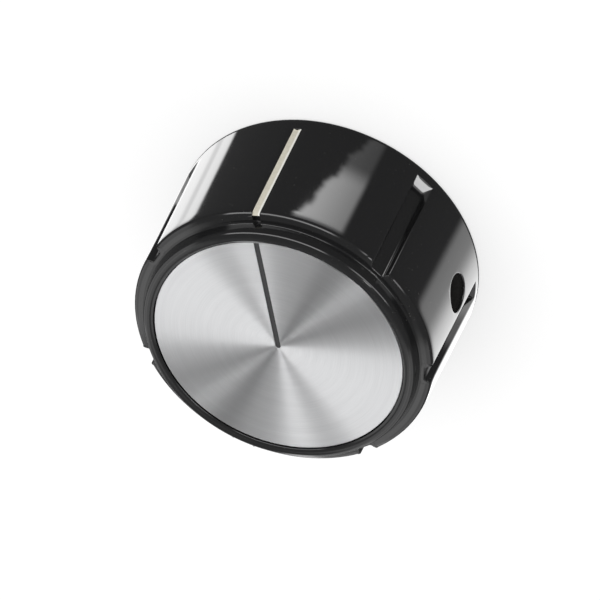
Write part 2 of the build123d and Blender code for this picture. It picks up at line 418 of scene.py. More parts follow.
def aluminium_material(finish):
    """Spun aluminium: rings of fine grooves with a round brushing direction."""
    material, nodes, links, shader, place = new_material("spun_aluminium")
    tree = material.node_tree
    spot = place.outputs["Object"]
    parts = nodes.new("ShaderNodeSeparateXYZ")
    links.new(spot, parts.inputs[0])
    across, along = parts.outputs["X"], parts.outputs["Y"]
    flat_square = calculated(tree, "ADD", calculated(tree, "MULTIPLY", across, across),
                             calculated(tree, "MULTIPLY", along, along))
    radius = calculated(tree, "SQRT", flat_square)
    around = calculated(tree, "ARCTAN2", along, across)
    ring_place = nodes.new("ShaderNodeCombineXYZ")
    links.new(radius, ring_place.inputs[0])
    links.new(calculated(tree, "MULTIPLY", around, 0.0002), ring_place.inputs[1])
    rings = noise(tree, ring_place.outputs[0], scale=9000, detail=3, roughness=0.7)
    wide = noise(tree, ring_place.outputs[0], scale=1600)
    tone = calculated(tree, "ADD", calculated(tree, "MULTIPLY", rings, 0.6),
                      calculated(tree, "MULTIPLY", wide, 0.4))
    dark = tuple(0.90 * c for c in finish.aluminium)
    links.new(mixed(tree, ranged(tree, tone, 0.3, 0.7, 0, 1), dark, finish.aluminium),
              shader.inputs["Base Color"])
    links.new(ranged(tree, tone, 0.3, 0.7, 0.36, 0.32), shader.inputs["Roughness"])
    shader.inputs["Metallic"].default_value = 1.0
    shader.inputs["Anisotropic"].default_value = 1.0
    shader.inputs["Anisotropic Rotation"].default_value = 0.25
    tangent = nodes.new("ShaderNodeTangent")
    tangent.direction_type = "RADIAL"
    tangent.axis = "Z"
    links.new(tangent.outputs[0], shader.inputs["Tangent"])
    bumped(tree, shader, rings, distance=0.000004, strength=0.3)
    return material


def paint_material(name, tone, roughness, edge=None):
    """Satin paint with a slightly uneven surface. A painted highlight along one edge, if it has one, is given
    by where it starts across the line, how wide its soft step is, and its colour."""
    material, nodes, links, shader, place = new_material(name)
    tree = material.node_tree
    grain = effect(tree, "fine_grain", build_grain, place.outputs["Object"], Scale=3000.0)
    colour_now = mixed(tree, grain, tuple(0.86 * c for c in tone), tone)
    if edge:
        start, width, highlight_tone = edge
        parts = nodes.new("ShaderNodeSeparateXYZ")
        links.new(place.outputs["Object"], parts.inputs[0])
        wavy = calculated(tree, "ADD", parts.outputs["X"], calculated(tree, "MULTIPLY", grain, width / 4))
        colour_now = mixed(tree, ranged(tree, wavy, start, start + width, 0, 1), colour_now, highlight_tone)
    links.new(colour_now, shader.inputs["Base Color"])
    shader.inputs["Roughness"].default_value = roughness
    bumped(tree, shader, grain, distance=0.00004, strength=0.4)
    return material


def metal_material(name, tone, roughness, scale):
    """Turned or blackened metal with fine tool marks."""
    material, nodes, links, shader, place = new_material(name)
    tree = material.node_tree
    grain = effect(tree, "fine_grain", build_grain, place.outputs["Object"], Scale=scale)
    links.new(mixed(tree, grain, tuple(0.75 * c for c in tone), tone), shader.inputs["Base Color"])
    links.new(ranged(tree, grain, 0, 1, roughness, roughness * 1.4), shader.inputs["Roughness"])
    shader.inputs["Metallic"].default_value = 1.0
    bumped(tree, shader, grain, distance=0.00002, strength=0.3)
    return material


def give(piece, material):
    """The piece's only material."""
    piece.data.materials.clear()
    piece.data.materials.append(material)


def sight(stage):
    """Unit vector from the face disc to the camera."""
    flat = cos(stage.elevation)
    return np.array((sin(stage.azimuth) * flat, cos(stage.azimuth) * flat, sin(stage.elevation)))


def new_object(name, mesh):
    """A linked object for a mesh."""
    made = bpy.data.objects.new(name, mesh)
    bpy.context.scene.collection.objects.link(made)
    return made


def grid_faces(rows, columns):
    """Quads of an open grid whose points run row by row."""
    first = (np.arange(rows - 1)[:, None] * columns + np.arange(columns - 1)).ravel()
    return np.stack((first, first + 1, first + columns + 1, first + columns), 1)


def ramp(values, start, blur):
    """Nought before a start and one after it, with a soft step of a given width round it."""
    share = np.clip((values - start) / blur + 0.5, 0, 1)
    return share * share * (3 - 2 * share)


def band(values, first, last, blur_in, blur_out):
    """One between two values and nought outside them, with a soft step at either end."""
    return ramp(values, first, blur_in) * (1 - ramp(values, last, blur_out))


def studio_card(name, points, glow):
    """A card from a grid of points with a glow for each, seen by mirror rays only."""
    rows, columns = glow.shape
    mesh = bpy.data.meshes.new(name)
    mesh.from_pydata(points.reshape(-1, 3).tolist(), [], grid_faces(rows, columns).tolist())
    made = mesh.attributes.new("glow", "FLOAT", "POINT")
    made.data.foreach_set("value", glow.ravel().astype(np.float32))
    card = new_object(name, mesh)
    card.visible_camera = card.visible_diffuse = card.visible_shadow = False
    return card


def floor_card(stage, body):
    """A dark card on the floor with the softboxes' light on it. A point of it lies where the line of sight
    meets the floor after it is thrown by a point of the side wall, so its glow is given by the wall's turn
    from the camera in degrees and by the height on the wall."""
    rises = np.concatenate((np.linspace(*WALL_RISES), np.geomspace(*RISES_ABOVE)))
    turn, rise = np.meshgrid(np.linspace(*WALL_TURNS), rises)
    around = stage.azimuth + np.radians(turn)
    lean = wall_lean(body)
    height = rise * (body.height - body.collar_height)
    normal = np.stack((np.sin(around) * cos(lean), np.cos(around) * cos(lean), 0 * around + sin(lean)), -1)
    reach = body.base_radius - lean * np.minimum(height, body.height)
    wall = np.stack((np.sin(around) * reach, np.cos(around) * reach, height), -1)
    towards = sight(stage)
    thrown = 2 * (normal @ towards)[..., None] * normal - towards
    points = wall - thrown * (height / thrown[..., 2])[..., None]
    points[..., 2] = FLOOR_CARD_HEIGHT

    falling = stage.left_panel + LEFT_PANEL_FALL * (turn - LEFT_PANEL_BRIM)
    left = (1 - ramp(turn, *LEFT_PANEL_END)) * np.clip(falling, LEFT_PANEL_LEAST, stage.left_panel)
    left = left - LEFT_PANEL_DIP * band(turn, *LEFT_PANEL_GAP)
    jag = sum(depth * np.sin(pace * rise + start) for depth, pace, start in MIDDLE_JAGS)
    edge = MIDDLE_EDGE - MIDDLE_SLANT * (rise - MIDDLE_RISE) + jag
    middle = ramp(turn, edge, MIDDLE_BLUR) * (1 - ramp(turn, *MIDDLE_END))
    middle = middle * (stage.middle_panel - MIDDLE_FALL * (turn - MIDDLE_BRIM))
    middle = middle * (MIDDLE_LOW + (1 - MIDDLE_LOW) * ramp(rise, *MIDDLE_FADE))
    right = stage.right_panel * ramp(turn, *RIGHT_PANEL) + stage.right_edge * ramp(turn, *RIGHT_EDGE)
    glow = stage.dark_level + (left + middle + right) * (1 - ramp(rise, *WALL_TOP))
    return studio_card("floor_card", points, glow)


def tent_card(stage):
    """A dome over the knob whose glow is given by the normal that mirrors it to the camera: by the normal's
    turn from the camera and by its slope from the vertical, both in degrees."""
    lift, turn = np.radians(np.meshgrid(np.arange(91), np.arange(361), indexing="ij"))
    way = np.stack((np.sin(turn) * np.cos(lift), np.cos(turn) * np.cos(lift), np.sin(lift)), -1)
    middle = way + sight(stage)
    middle = middle / np.linalg.norm(middle, axis=-1, keepdims=True)
    slope = np.degrees(np.arccos(np.clip(middle[..., 2], -1, 1)))
    turned = (np.degrees(np.arctan2(middle[..., 0], middle[..., 1]) - stage.azimuth) + 180) % 360 - 180
    sweep = band(np.abs(turned), *SWEEP_TURN)
    wing = np.where(turned < 0, stage.sweep_left, stage.sweep_right) * sweep
    wing = wing + stage.shade * band(turned, *SHADE_TURN) + stage.far_shade * band(-turned, *FAR_SHADE_TURN)
    wing = wing + stage.narrow * band(turned, *NARROW_TURN) + stage.thin * band(turned, *THIN_TURN)
    arc = stage.left_arc * band(turned, *LEFT_ARC_TURN) + stage.right_arc * band(turned, *RIGHT_ARC_TURN)
    low = stage.low_sweep * sweep
    end = stage.flute_end * band(turned, *FLUTE_END_TURN)
    glow = stage.tent_level + wing * band(slope, *WING_SLOPE) + low * band(slope, *LOW_SLOPE)
    glow = glow + end * band(slope, *FLUTE_END_SLOPE) + arc * band(slope, *ARC_SLOPE)
    return studio_card("tent_card", way * TENT_RADIUS, glow)


def ring_card(stage, body):
    """A dark card round the knob's foot that brightens to the floor's white far out and behind the knob."""
    round_trip, reaches = np.linspace(0, 2 * pi, 121), np.geomspace(body.base_radius, RING_REACH, 30)
    turn, reach = np.meshgrid(round_trip, reaches)
    points = np.stack((np.sin(turn) * reach, np.cos(turn) * reach, 0 * turn + RING_CARD_HEIGHT), -1)
    behind = np.degrees(np.arccos(np.cos(turn - stage.azimuth)))
    white = np.maximum(ramp(reach, *WHITE_REACH), ramp(behind, *WHITE_BEHIND))
    return studio_card("ring_card", points, stage.dark_level + (1 - stage.dark_level) * white)


def bare_material(name):
    """A material without a shader: itself, its nodes, its links and its output's surface."""
    material = bpy.data.materials.new(name)
    material.use_nodes = True
    nodes = material.node_tree.nodes
    nodes.clear()
    return material, nodes, material.node_tree.links, nodes.new("ShaderNodeOutputMaterial").inputs["Surface"]


def card_material():
    """Even white light whose strength is the card's own glow."""
    material, nodes, links, surface = bare_material("card_light")
    glow = nodes.new("ShaderNodeAttribute")
    glow.attribute_name = "glow"
    light = nodes.new("ShaderNodeEmission")
    links.new(glow.outputs["Fac"], light.inputs["Strength"])
    links.new(light.outputs[0], surface)
    return material


def background_rays(nodes, links):
    """One for camera, glossy and transmission rays, and nought for the others."""
    rays = nodes.new("ShaderNodeLightPath")
    value = rays.outputs["Is Camera Ray"]
    for name in ("Is Glossy Ray", "Is Transmission Ray"):
        wider = nodes.new("ShaderNodeMath")
        wider.operation = "MAXIMUM"
        links.new(value, wider.inputs[0])
        links.new(rays.outputs[name], wider.inputs[1])
        value = wider.outputs[0]
    return value


def floor_material(stage):
    """Pale floor, white as a background and with the knob's shadow on it, and clear from below."""
    material, nodes, links, surface = bare_material("pale_floor")
    paper = nodes.new("ShaderNodeBsdfDiffuse")
    paper.inputs["Color"].default_value = FLOOR_TONE
    white = nodes.new("ShaderNodeEmission")
    both = nodes.new("ShaderNodeAddShader")
    rays = background_rays(nodes, links)
    strength = ranged(material.node_tree, rays, 0, 1, stage.floor_fill, stage.floor_level)
    side = nodes.new("ShaderNodeNewGeometry")
    clear = nodes.new("ShaderNodeBsdfTransparent")
    choice = nodes.new("ShaderNodeMixShader")
    links.new(strength, white.inputs["Strength"])
    links.new(paper.outputs[0], both.inputs[0])
    links.new(white.outputs[0], both.inputs[1])
    links.new(side.outputs["Backfacing"], choice.inputs[0])
    links.new(both.outputs[0], choice.inputs[1])
    links.new(clear.outputs[0], choice.inputs[2])
    links.new(choice.outputs[0], surface)
    return material


def room_world(stage):
    """Even room light, and white as a background."""
    world = bpy.data.worlds.new("room")
    bpy.context.scene.world = world
    world.use_nodes = True
    nodes, links = world.node_tree.nodes, world.node_tree.links
    level = ranged(world.node_tree, background_rays(nodes, links), 0, 1, stage.world_level, 1)
    links.new(level, nodes["Background"].inputs["Strength"])
    nodes["Background"].inputs["Color"].default_value = WHITE


def quarter(count, first=0):
    """Angles from nought to a quarter turn, evenly spaced."""
    return np.linspace(0, pi / 2, count)[first:]


def mirrored(half, flips=False):
    """A half row of values with its mirror image put before it, sign changed where it flips."""
    return np.concatenate(((-half if flips else half)[:0:-1], half))


def wall_lean(body):
    """How much the side wall's radius shrinks for each metre upwards."""
    return body.side_draft / (body.height - body.collar_height - body.ledge_fall)


def flute_half(body):
    """Half a flute's outline from its middle to the plain wall, as columns of the body's grid. Reach from
    the axis is a fixed part plus a share of the wall's own reach; into is the way into the moulding."""
    floor = body.base_radius - body.side_draft - body.flute_depth
    half, low_half = body.flute_width / 2, body.flute_floor_width / 2
    corner, lip = body.flute_corner, body.flute_lip
    turn, roll = np.radians((15, 30, 45, 60, 75, 90)), np.radians((0, 30, 60, 90))
    climb = np.array((0.3, 0.6, 0.85))
    offset = (np.linspace(0, low_half - corner, 4), low_half - corner + corner * np.sin(turn),
              low_half + (half - low_half) * climb, half + lip - lip * np.cos(roll))
    fixed = (np.full(4, floor), floor + corner - corner * np.cos(turn),
             (1 - climb) * (floor + corner) - climb * lip, -lip + lip * np.sin(roll))
    into_x = (np.full(4, -1.0), -np.cos(turn), np.zeros(3), -np.sin(roll))
    into_y = (np.zeros(4), np.sin(turn), np.ones(3), np.cos(roll))
    growth = (body.shoulder_radius - body.edge_rounding) * np.array((0, 0.25, 0.6, 1))
    half_row = {
        "offset": np.concatenate(offset),
        "fixed": np.concatenate(fixed),
        "share": np.concatenate((np.zeros(4 + len(turn)), climb, np.ones(len(roll)))),
        "into_x": np.concatenate(into_x),
        "into_y": np.concatenate(into_y),
        "edge": np.concatenate((np.full(FLUTE_COLUMNS - 4, body.edge_rounding), body.edge_rounding + growth)),
        "line": np.zeros(FLUTE_COLUMNS),
    }
    even = np.linspace(0, 1, FLUTE_COLUMNS)
    half_row["plain"] = even * half_row["offset"][-1]
    half_row["foot"] = half_row["offset"] + even * body.fan_width
    half_row["wall_offset"] = np.full(FLUTE_COLUMNS, half_row["offset"][-1])
    return half_row


def line_half(body):
    """Half the painted groove's outline from its middle to the plain wall, in the same terms."""
    half, lip = body.line_width / 2, body.line_lip
    floor, edge = half * np.array((0, 0.33, 0.66, 0.92, 1)), half + lip * np.array((0.1, 0.4, 1.1))
    offset = np.concatenate((floor, edge))
    deep = np.concatenate((np.full(LINE_COLUMNS, body.line_depth), lip * np.array((1, 0.3, 0))))
    return {
        "offset": offset,
        "fixed": -deep,
        "share": np.ones(len(offset)),
        "into_x": np.full(len(offset), -1.0),
        "into_y": np.zeros(len(offset)),
        "edge": np.array((lip,) * LINE_COLUMNS + (2 * lip, 4 * lip, body.shoulder_radius)),
        "line": (np.arange(len(offset)) < LINE_COLUMNS).astype(float),
        "plain": offset,
        "foot": offset,
        "wall_offset": offset,
    }


def body_columns(body):
    """Columns of the body's outside, counter-clockwise from the painted groove: at each of the flute
    positions a cut, and after it the plain wall up to the next cut. Returns them with the number of the
    first column of the block round the screw hole."""
    wall = body.base_radius - body.side_draft / 2
    foot_radius = wall - body.side_draft / 2 - body.ledge_width + body.collar_foot_radius
    cuts = [line_half(body)] + [flute_half(body)] * (FLUTE_POSITIONS - 1)
    borders = [np.arcsin(cut["offset"][-1] / wall) for cut in cuts]
    foot_borders = [np.arcsin(cut["foot"][-1] / foot_radius) for cut in cuts]
    step = 2 * pi / FLUTE_POSITIONS
    parts, block = [], 0
    for k, cut in enumerate(cuts):
        turn = pi / 2 + k * step
        flips = ("offset", "into_y", "plain", "foot")
        part = {name: mirrored(row, name in flips) for name, row in cut.items()}
        part["wall_offset"] = np.abs(part["wall_offset"])
        part["turn"] = np.full(len(part["offset"]), turn)
        part["foot"] = turn + np.arcsin(part["foot"] / foot_radius)
        part["cut"] = np.ones(len(part["offset"]))
        part["cut"][[0, -1]] = 0
        part["start"] = np.full(len(part["offset"]), body.line_start if k == 0 else body.back_rim)
        parts.append(part)

        ahead = (k + 1) % FLUTE_POSITIONS
        first, last = turn + borders[k], turn + step - borders[ahead]
        angles = np.linspace(first, last, LOBE_COLUMNS)[1:-1]
        if first < 2 * pi < last:
            block = sum(len(p["turn"]) for p in parts)
            reach = np.arcsin((body.hole_block - body.line_lip) / wall)
            angles = np.concatenate((2 * pi + np.linspace(-reach, reach, BLOCK),
                                     np.linspace(2 * pi + reach, last, 11)[1:-1]))
        foot_first, foot_last = turn + foot_borders[k], turn + step - foot_borders[ahead]
        lobe = {name: np.zeros(len(angles)) for name in part}
        lobe.update(
            turn=angles, share=lobe["share"] + 1, into_x=lobe["into_x"] - 1,
            edge=lobe["edge"] + body.shoulder_radius, start=lobe["start"] + body.back_rim,
            foot=foot_first + (angles - first) / (last - first) * (foot_last - foot_first),
        )
        parts.append(lobe)
    return {name: np.concatenate([part[name] for part in parts]) for name in parts[0]}, block


def body_outside(body, cols):
    """Rows of points up the side wall, over the shoulder, ledge and collar, and down into the recess. On a
    row up to the shoulder each point goes from the plain circle to its column's place in the cut; on the
    ledge it goes straight from there to the collar's foot; above that every row is a circle. Returns the
    rows with the number of the first row of the block round the screw hole."""
    lean = wall_lean(body)
    foot_height = body.height - body.collar_height
    foot_radius = body.base_radius - body.side_draft - body.ledge_width
    line_top = foot_height - body.ledge_fall - body.line_depth
    on_line = cols["line"] > 0
    rows = []

    def turned(x, y, z):
        """A row from its local reach, offset and height."""
        rows.append(np.stack((x * np.cos(cols["turn"]) - y * np.sin(cols["turn"]),
                              x * np.sin(cols["turn"]) + y * np.cos(cols["turn"]), z + 0 * x), 1))

    def circle(radius, z):
        """A round row at the columns' angles on the collar."""
        rows.append(np.stack((radius * np.cos(cols["foot"]), radius * np.sin(cols["foot"]),
                              z + 0 * cols["foot"]), 1))

    def wall(z, share, inset=0.0):
        """Local reach and offset on the wall at a height, a share of the way into the cut."""
        radius = body.base_radius - lean * z - inset
        plain = np.sqrt(radius ** 2 - cols["plain"] ** 2)
        full = cols["fixed"] + cols["share"] * np.sqrt(radius ** 2 - cols["wall_offset"] ** 2)
        return plain + (full - plain) * share, cols["plain"] + (cols["offset"] - cols["plain"]) * share

    def ledge(radius):
        """Height of the ledge at a radius."""
        return foot_height - body.ledge_fall * (radius - foot_radius) / body.ledge_width

    bottom, bevel = body.base_edge_radius, body.edge_rounding
    for t in quarter(5):
        z = bottom * (1 - cos(t))
        turned(*wall(z, 0, bottom * (1 - sin(t))), z)
    for share in (0.35, 0.7):
        z = bottom + share * (cols["start"] - bevel - bottom)
        turned(*wall(z, 0), z)
    end_reach = body.base_radius - lean * cols["start"]
    cut_shares = np.array((0, 0.015, 0.06, 0.12, 0.18, 0.5, 0.82, 0.88, 0.94, 0.985, 1.0))
    cut_rises = np.array((-1, -0.45, -0.1, 0, 0, 0, 0, 0, 0.1, 0.45, 1)) * bevel
    for share, rise, even in zip(cut_shares, cut_rises, np.linspace(-bevel, bevel, len(cut_shares))):
        depth = end_reach - wall(cols["start"], share)[0]
        rise = rise + np.where(on_line, 0, depth * tan(body.flute_end_lean))
        z = cols["start"] + np.where(cols["cut"] > 0, rise, even)
        turned(*wall(z, share), z)

    low, high = body.screw_height - body.hole_block, body.screw_height + body.hole_block
    below = np.linspace(body.back_rim + bevel, low, 4)[1:-1]
    levels = np.concatenate((below, np.linspace(low, high, BLOCK)))
    block = len(rows) + 2
    for level in levels:
        above = (cols["start"] > body.back_rim) * 0.3 * (level - body.back_rim)
        z = np.maximum(level, cols["start"] + bevel + above)
        turned(*wall(z, 1), z)
    x, y = wall(foot_height, 1)
    top = ledge(np.hypot(x + cols["into_x"] * cols["edge"], y + cols["into_y"] * cols["edge"]))
    top = np.where(on_line, line_top, top)
    finish = top - cols["edge"]
    for share in np.linspace(0, 1, 7)[1:]:
        z = high + share * (finish - high)
        turned(*wall(z, 1), z)
    x, y = wall(finish, 1)
    for t in quarter(7, 1):
        inset = cols["edge"] * (1 - cos(t))
        turned(x + cols["into_x"] * inset, y + cols["into_y"] * inset, top - cols["edge"] * (1 - sin(t)))

    rounding = body.collar_foot_radius
    start = rows[-1][:, :2]
    goal = (foot_radius + rounding) * np.stack((np.cos(cols["foot"]), np.sin(cols["foot"])), 1)
    for share in (0.25, 0.5, 0.75, 1):
        flat = start + share * (goal - start)
        z = np.where(on_line, line_top, ledge(np.hypot(*flat.T)))
        rows.append(np.column_stack((flat, z)))
    base = np.where(on_line, line_top, foot_height)
    for t in quarter(4, 1):
        circle(foot_radius + rounding * (1 - sin(t)), base + rounding * (1 - cos(t)))

    def collar(z):
        """Radius of the collar's outer wall at a height."""
        return foot_radius - body.collar_draft * np.maximum(z - foot_height, 0) / body.collar_height

    edge = body.collar_edge_radius
    for share in (0.33, 0.67):
        z = base + rounding + share * (body.height - edge - base - rounding)
        circle(collar(z), z)
    for t in quarter(9):
        circle(collar(body.height - edge) - edge * (1 - cos(t)), body.height - edge * (1 - sin(t)))
    recess, inner = collar(body.height) - body.collar_width, body.collar_inner_radius
    inside, outside = recess + inner, collar(body.height - edge) - edge
    for share in (0.2, 0.4, 0.6, 0.8):
        crown = 4 * body.collar_crown * share * (1 - share)
        circle(outside + share * (inside - outside), body.height + crown)
    for t in quarter(5)[::-1]:
        circle(recess + inner * (1 - cos(t)), body.height - inner * (1 - sin(t)))
    floor = body.height - body.recess_depth
    circle(recess, (body.height + floor) / 2)
    for share in (1, 0.98, 0.7, 0.4, 0.12):
        circle(recess * share, floor)
    return np.array(rows), block


def hollow_columns(body, count, start):
    """Columns of the underside, counter-clockwise from an angle: each has its angles at the skirt, the
    hub and the bushing's seat, and how far it is on a web. A web's columns keep an even distance from its
    middle line, and those between two webs are spread evenly."""
    skirt = body.base_radius - body.side_draft - body.flute_depth - body.skirt

    def ridge(turn, half, middle, seat_half):
        """Columns of a web or of the screw's boss."""
        side = half + body.web_side * np.array((1, 0, -1))
        y = np.concatenate((-side, middle, side[::-1]))
        level = np.concatenate(((0, 0.9, 1), np.ones(len(middle)), (1, 0.9, 0)))
        seat = np.interp(y, (y[0], middle[0], middle[-1], y[-1]),
                         (-seat_half - SEAT_FADE_ANGLE, -seat_half, seat_half, seat_half + SEAT_FADE_ANGLE))
        hub = turn + np.arcsin(y / body.hub_radius)
        return np.stack((turn + np.arcsin(y / skirt), hub, turn + seat, level), 1)

    boss_half, web_half = body.boss_width / 2, body.web_width / 2
    ridges = [ridge(0, boss_half, np.linspace(-0.87, 0.87, BLOCK) * boss_half, SEAT_BLOCK_ANGLE)]
    for k in range(1, WEBS):
        ridges.append(ridge(2 * pi * k / WEBS, web_half, np.linspace(-0.55, 0.55, 3) * web_half,
                            np.arcsin(web_half / body.hub_radius)))
    spare = count - sum(len(made) for made in ridges)
    parts = []
    for k, made in enumerate(ridges):
        ahead = ridges[(k + 1) % WEBS][0] + (0 if k + 1 < WEBS else 2 * pi) * np.array((1, 1, 1, 0))
        between = spare // WEBS if k + 1 < WEBS else spare - (WEBS - 1) * (spare // WEBS)
        share = np.linspace(0, 1, between + 2)[1:-1, None]
        pocket = made[-1] + share * (ahead - made[-1])
        pocket[:, 3] = 0
        parts += [made, pocket]
    whole = np.concatenate(parts)
    first = int(np.argmin(np.abs(whole[:, 0] - start)))
    whole = np.roll(whole, -first, axis=0)
    whole[count - first:, :3] += 2 * pi
    return whole, (3 - first) % count


def body_underside(body, under):
    """Rows of points from the top of the bushing's seat down its wall, out over the hub, up into the hollow,
    down the skirt and out to the back rim. A column on a web stays at the hub's level instead. Returns the
    rows with the number of the first row of the block round the screw hole."""
    skirt_turn, hub_turn, seat_turn, web = under.T
    skirt = body.base_radius - body.side_draft - body.flute_depth - body.skirt
    lean = tan(body.hollow_draft)
    low, edge, rounding = body.hub_recess, body.inner_edge, body.hollow_rounding
    on_web = web > 0
    web_level = low + (1 - web) * rounding
    rows = []

    def ring(angles, radius, z):
        """A row at a radius and height."""
        rows.append(np.stack((radius * np.cos(angles), radius * np.sin(angles), z + 0 * angles), 1))

    hexagon = body.hexagon_radius / np.cos((seat_turn + pi / 3) % (pi / 3) - pi / 6)
    for share in (0.1, 0.5, 0.9, 1):
        ring(seat_turn, hexagon * share, body.seat_top)
    ring(seat_turn, hexagon, body.hexagon_low)
    ring(seat_turn, body.seat_radius, body.hexagon_low)
    high, bottom = body.screw_height + body.hole_block, body.screw_height - body.hole_block
    ring(seat_turn, body.seat_radius, (high + body.hexagon_low) / 2)
    block = len(rows)
    for z in (*np.linspace(high, bottom, BLOCK), body.anchor_high):
        ring(seat_turn, body.seat_radius, z)
    for z in (body.anchor_high, body.anchor_low):
        ring(seat_turn, body.seat_radius - body.anchor_depth, z)
    for z in (body.anchor_low, low):
        ring(seat_turn, body.seat_radius, z)
    for share in (0.3, 0.6):
        ring(seat_turn + share * (hub_turn - seat_turn),
             body.seat_radius + share * (body.hub_radius - body.seat_radius), low)
    for t in quarter(5):
        ring(hub_turn, body.hub_radius - edge * (1 - sin(t)), low + edge * (1 - cos(t)) * (1 - web))
    for share in (0.3, 0.65, 1):
        z = low + edge + share * (body.ceiling - rounding - low - edge)
        ring(hub_turn, body.hub_radius + lean * (z - low), np.where(on_web, web_level, z))
    hub_top, skirt_top = body.hub_radius + lean * body.ceiling, skirt - lean * body.ceiling
    for t in quarter(5, 1):
        z = body.ceiling - rounding * (1 - sin(t))
        ring(hub_turn, hub_top + rounding * (1 - cos(t)), np.where(on_web, web_level, z))
    inner = (hub_top + rounding) * np.stack((np.cos(hub_turn), np.sin(hub_turn)), 1)
    outer = (skirt_top - rounding) * np.stack((np.cos(skirt_turn), np.sin(skirt_turn)), 1)
    for share in (0.25, 0.5, 0.75, 1):
        z = np.where(on_web, web_level, body.ceiling)
        rows.append(np.column_stack((inner + share * (outer - inner), z)))
    for t in quarter(5, 1):
        z = body.ceiling - rounding * (1 - cos(t))
        ring(skirt_turn, skirt_top - rounding * (1 - sin(t)), np.where(on_web, web_level, z))
    for share in (0.35, 0.7, 1):
        z = body.ceiling - rounding + share * (low + edge - body.ceiling + rounding)
        ring(skirt_turn, skirt - lean * z, np.where(on_web, web_level, z))
    for share in (0.5, 1):
        z = low + edge - share * low
        ring(skirt_turn, skirt - lean * z, np.where(on_web, web_level + share * (edge - low), z))
    for t in quarter(5, 1):
        ring(skirt_turn, skirt + edge * (1 - cos(t)), edge * (1 - sin(t)))
    return np.array(rows), block


def block_loop(points, columns, row, column, level):
    """Numbers of the points round a square block of a closed grid, in turn about a level on the X side."""
    down, along = row + np.arange(BLOCK), (column + np.arange(BLOCK)) % columns
    loop = np.concatenate((down[0] * columns + along, down[1:] * columns + along[-1],
                           down[-1] * columns + along[:-1], down[1:-1] * columns + along[0]))
    return loop[np.argsort(np.arctan2(points[loop, 2] - level, points[loop, 1]))]


def hole_rings(body, mouth, end):
    """Rings of points from a square block in the side wall to one in the bushing's seat: in to the rounded
    mouth, along the hole, and out again. A ring on the wall or on the seat lies on its cone or cylinder."""
    level, lean = body.screw_height, wall_lean(body)
    around = np.arctan2(mouth[:, 2] - level, mouth[:, 1])

    def circle(radius):
        """Offsets and heights of a circle about the screw's axis."""
        return np.column_stack((radius * np.cos(around), level + radius * np.sin(around)))

    def on_wall(flat):
        """Points of the side wall at given offsets and heights."""
        return np.column_stack((np.sqrt((body.base_radius - lean * flat[:, 1]) ** 2 - flat[:, 0] ** 2), flat))

    def on_seat(flat):
        """Points of the bushing's seat at given offsets and heights."""
        return np.column_stack((np.sqrt(body.seat_radius ** 2 - flat[:, 0] ** 2), flat))

    wide = circle(body.hole_radius + body.hole_edge)
    rings = [on_wall((mouth[:, 1:] + wide) / 2), on_wall(wide)]
    for t in quarter(5, 1):
        ring = on_wall(circle(body.hole_radius + body.hole_edge * (1 - sin(t))))
        ring[:, 0] -= body.hole_edge * (1 - cos(t))
        rings.append(ring)
    last = on_seat(circle(body.hole_radius))
    rings += [rings[-1] + share * (last - rings[-1]) for share in (0.05, 0.4, 0.8, 1)]
    rings.append(on_seat((circle(body.hole_radius) + end[:, 1:]) / 2))
    return rings


def body_surface(body):
    """Points and faces of the moulded body: one closed grid of rows and columns from the top of the
    bushing's seat, round the back rim and up to the middle of the recess, with a pole at each end, and the
    screw's hole let in between two square blocks of it. Returns points, quads and triangles."""
    cols, column = body_columns(body)
    count = len(cols["turn"])
    outside, row = body_outside(body, cols)
    under, seat_column = hollow_columns(body, count, cols["turn"][0])
    underside, seat_row = body_underside(body, under)
    row += len(underside)
    grid = np.concatenate((underside, outside))
    points = grid.reshape(-1, 3)

    down, along = np.meshgrid(np.arange(len(grid) - 1), np.arange(count), indexing="ij")
    after = (along + 1) % count
    quads = np.stack((down * count + along, down * count + after,
                      (down + 1) * count + after, (down + 1) * count + along), -1)
    kept = np.ones(quads.shape[:2], bool)
    loops = []
    for r, q in ((row, column), (seat_row, seat_column)):
        kept[np.ix_(r + np.arange(BLOCK - 1), (q + np.arange(BLOCK - 1)) % count)] = False
        loops.append(block_loop(points, count, r, q, body.screw_height))
    rings = hole_rings(body, points[loops[0]], points[loops[1]])
    length = len(loops[0])
    numbers = [len(points) + k * length + np.arange(length) for k in range(len(rings))]
    numbers = [loops[0], *numbers, loops[1]]
    tube = [np.stack((a, np.roll(a, -1), np.roll(b, -1), b), 1) for a, b in zip(numbers, numbers[1:])]

    poles = ((0, 0, body.seat_top), (0, 0, body.height - body.recess_depth))
    points = np.concatenate((points, *rings, poles))
    first, last = np.arange(count), (len(grid) - 1) * count + np.arange(count)
    low_pole, high_pole = np.full(count, len(points) - 2), np.full(count, len(points) - 1)
    triangles = np.concatenate((np.stack((low_pole, np.roll(first, -1), first), 1),
                                np.stack((last, np.roll(last, -1), high_pole), 1)))
    return points, np.concatenate((quads[kept], *tube)), triangles


def hole_dust_and_light(body, points):
    """How far each point of the body is drawn towards the dust colour, as dust and as painted light: one
    inside the screw's hole, nought outside it.
    """
    off_axis = np.hypot(points[:, 1], points[:, 2] - body.screw_height)
    inside = np.hypot(points[:, 0], points[:, 1]) < body.base_radius - 3 * body.hole_edge
    outer_part = points[:, 0] > 0.9 * body.seat_radius
    return ((off_axis < 1.01 * body.hole_radius) & inside & outer_part).astype(np.float32)


def new_mesh(name, points, *faces):
    """A mesh from arrays of points and of faces, smooth but for its sharp edges."""
    mesh = bpy.data.meshes.new(name)
    mesh.from_pydata(points.tolist(), [], [face for group in faces for face in group.tolist()])
    mesh.shade_smooth()
    mesh.set_sharp_from_angle(angle=SHARP_ANGLE)
    return mesh


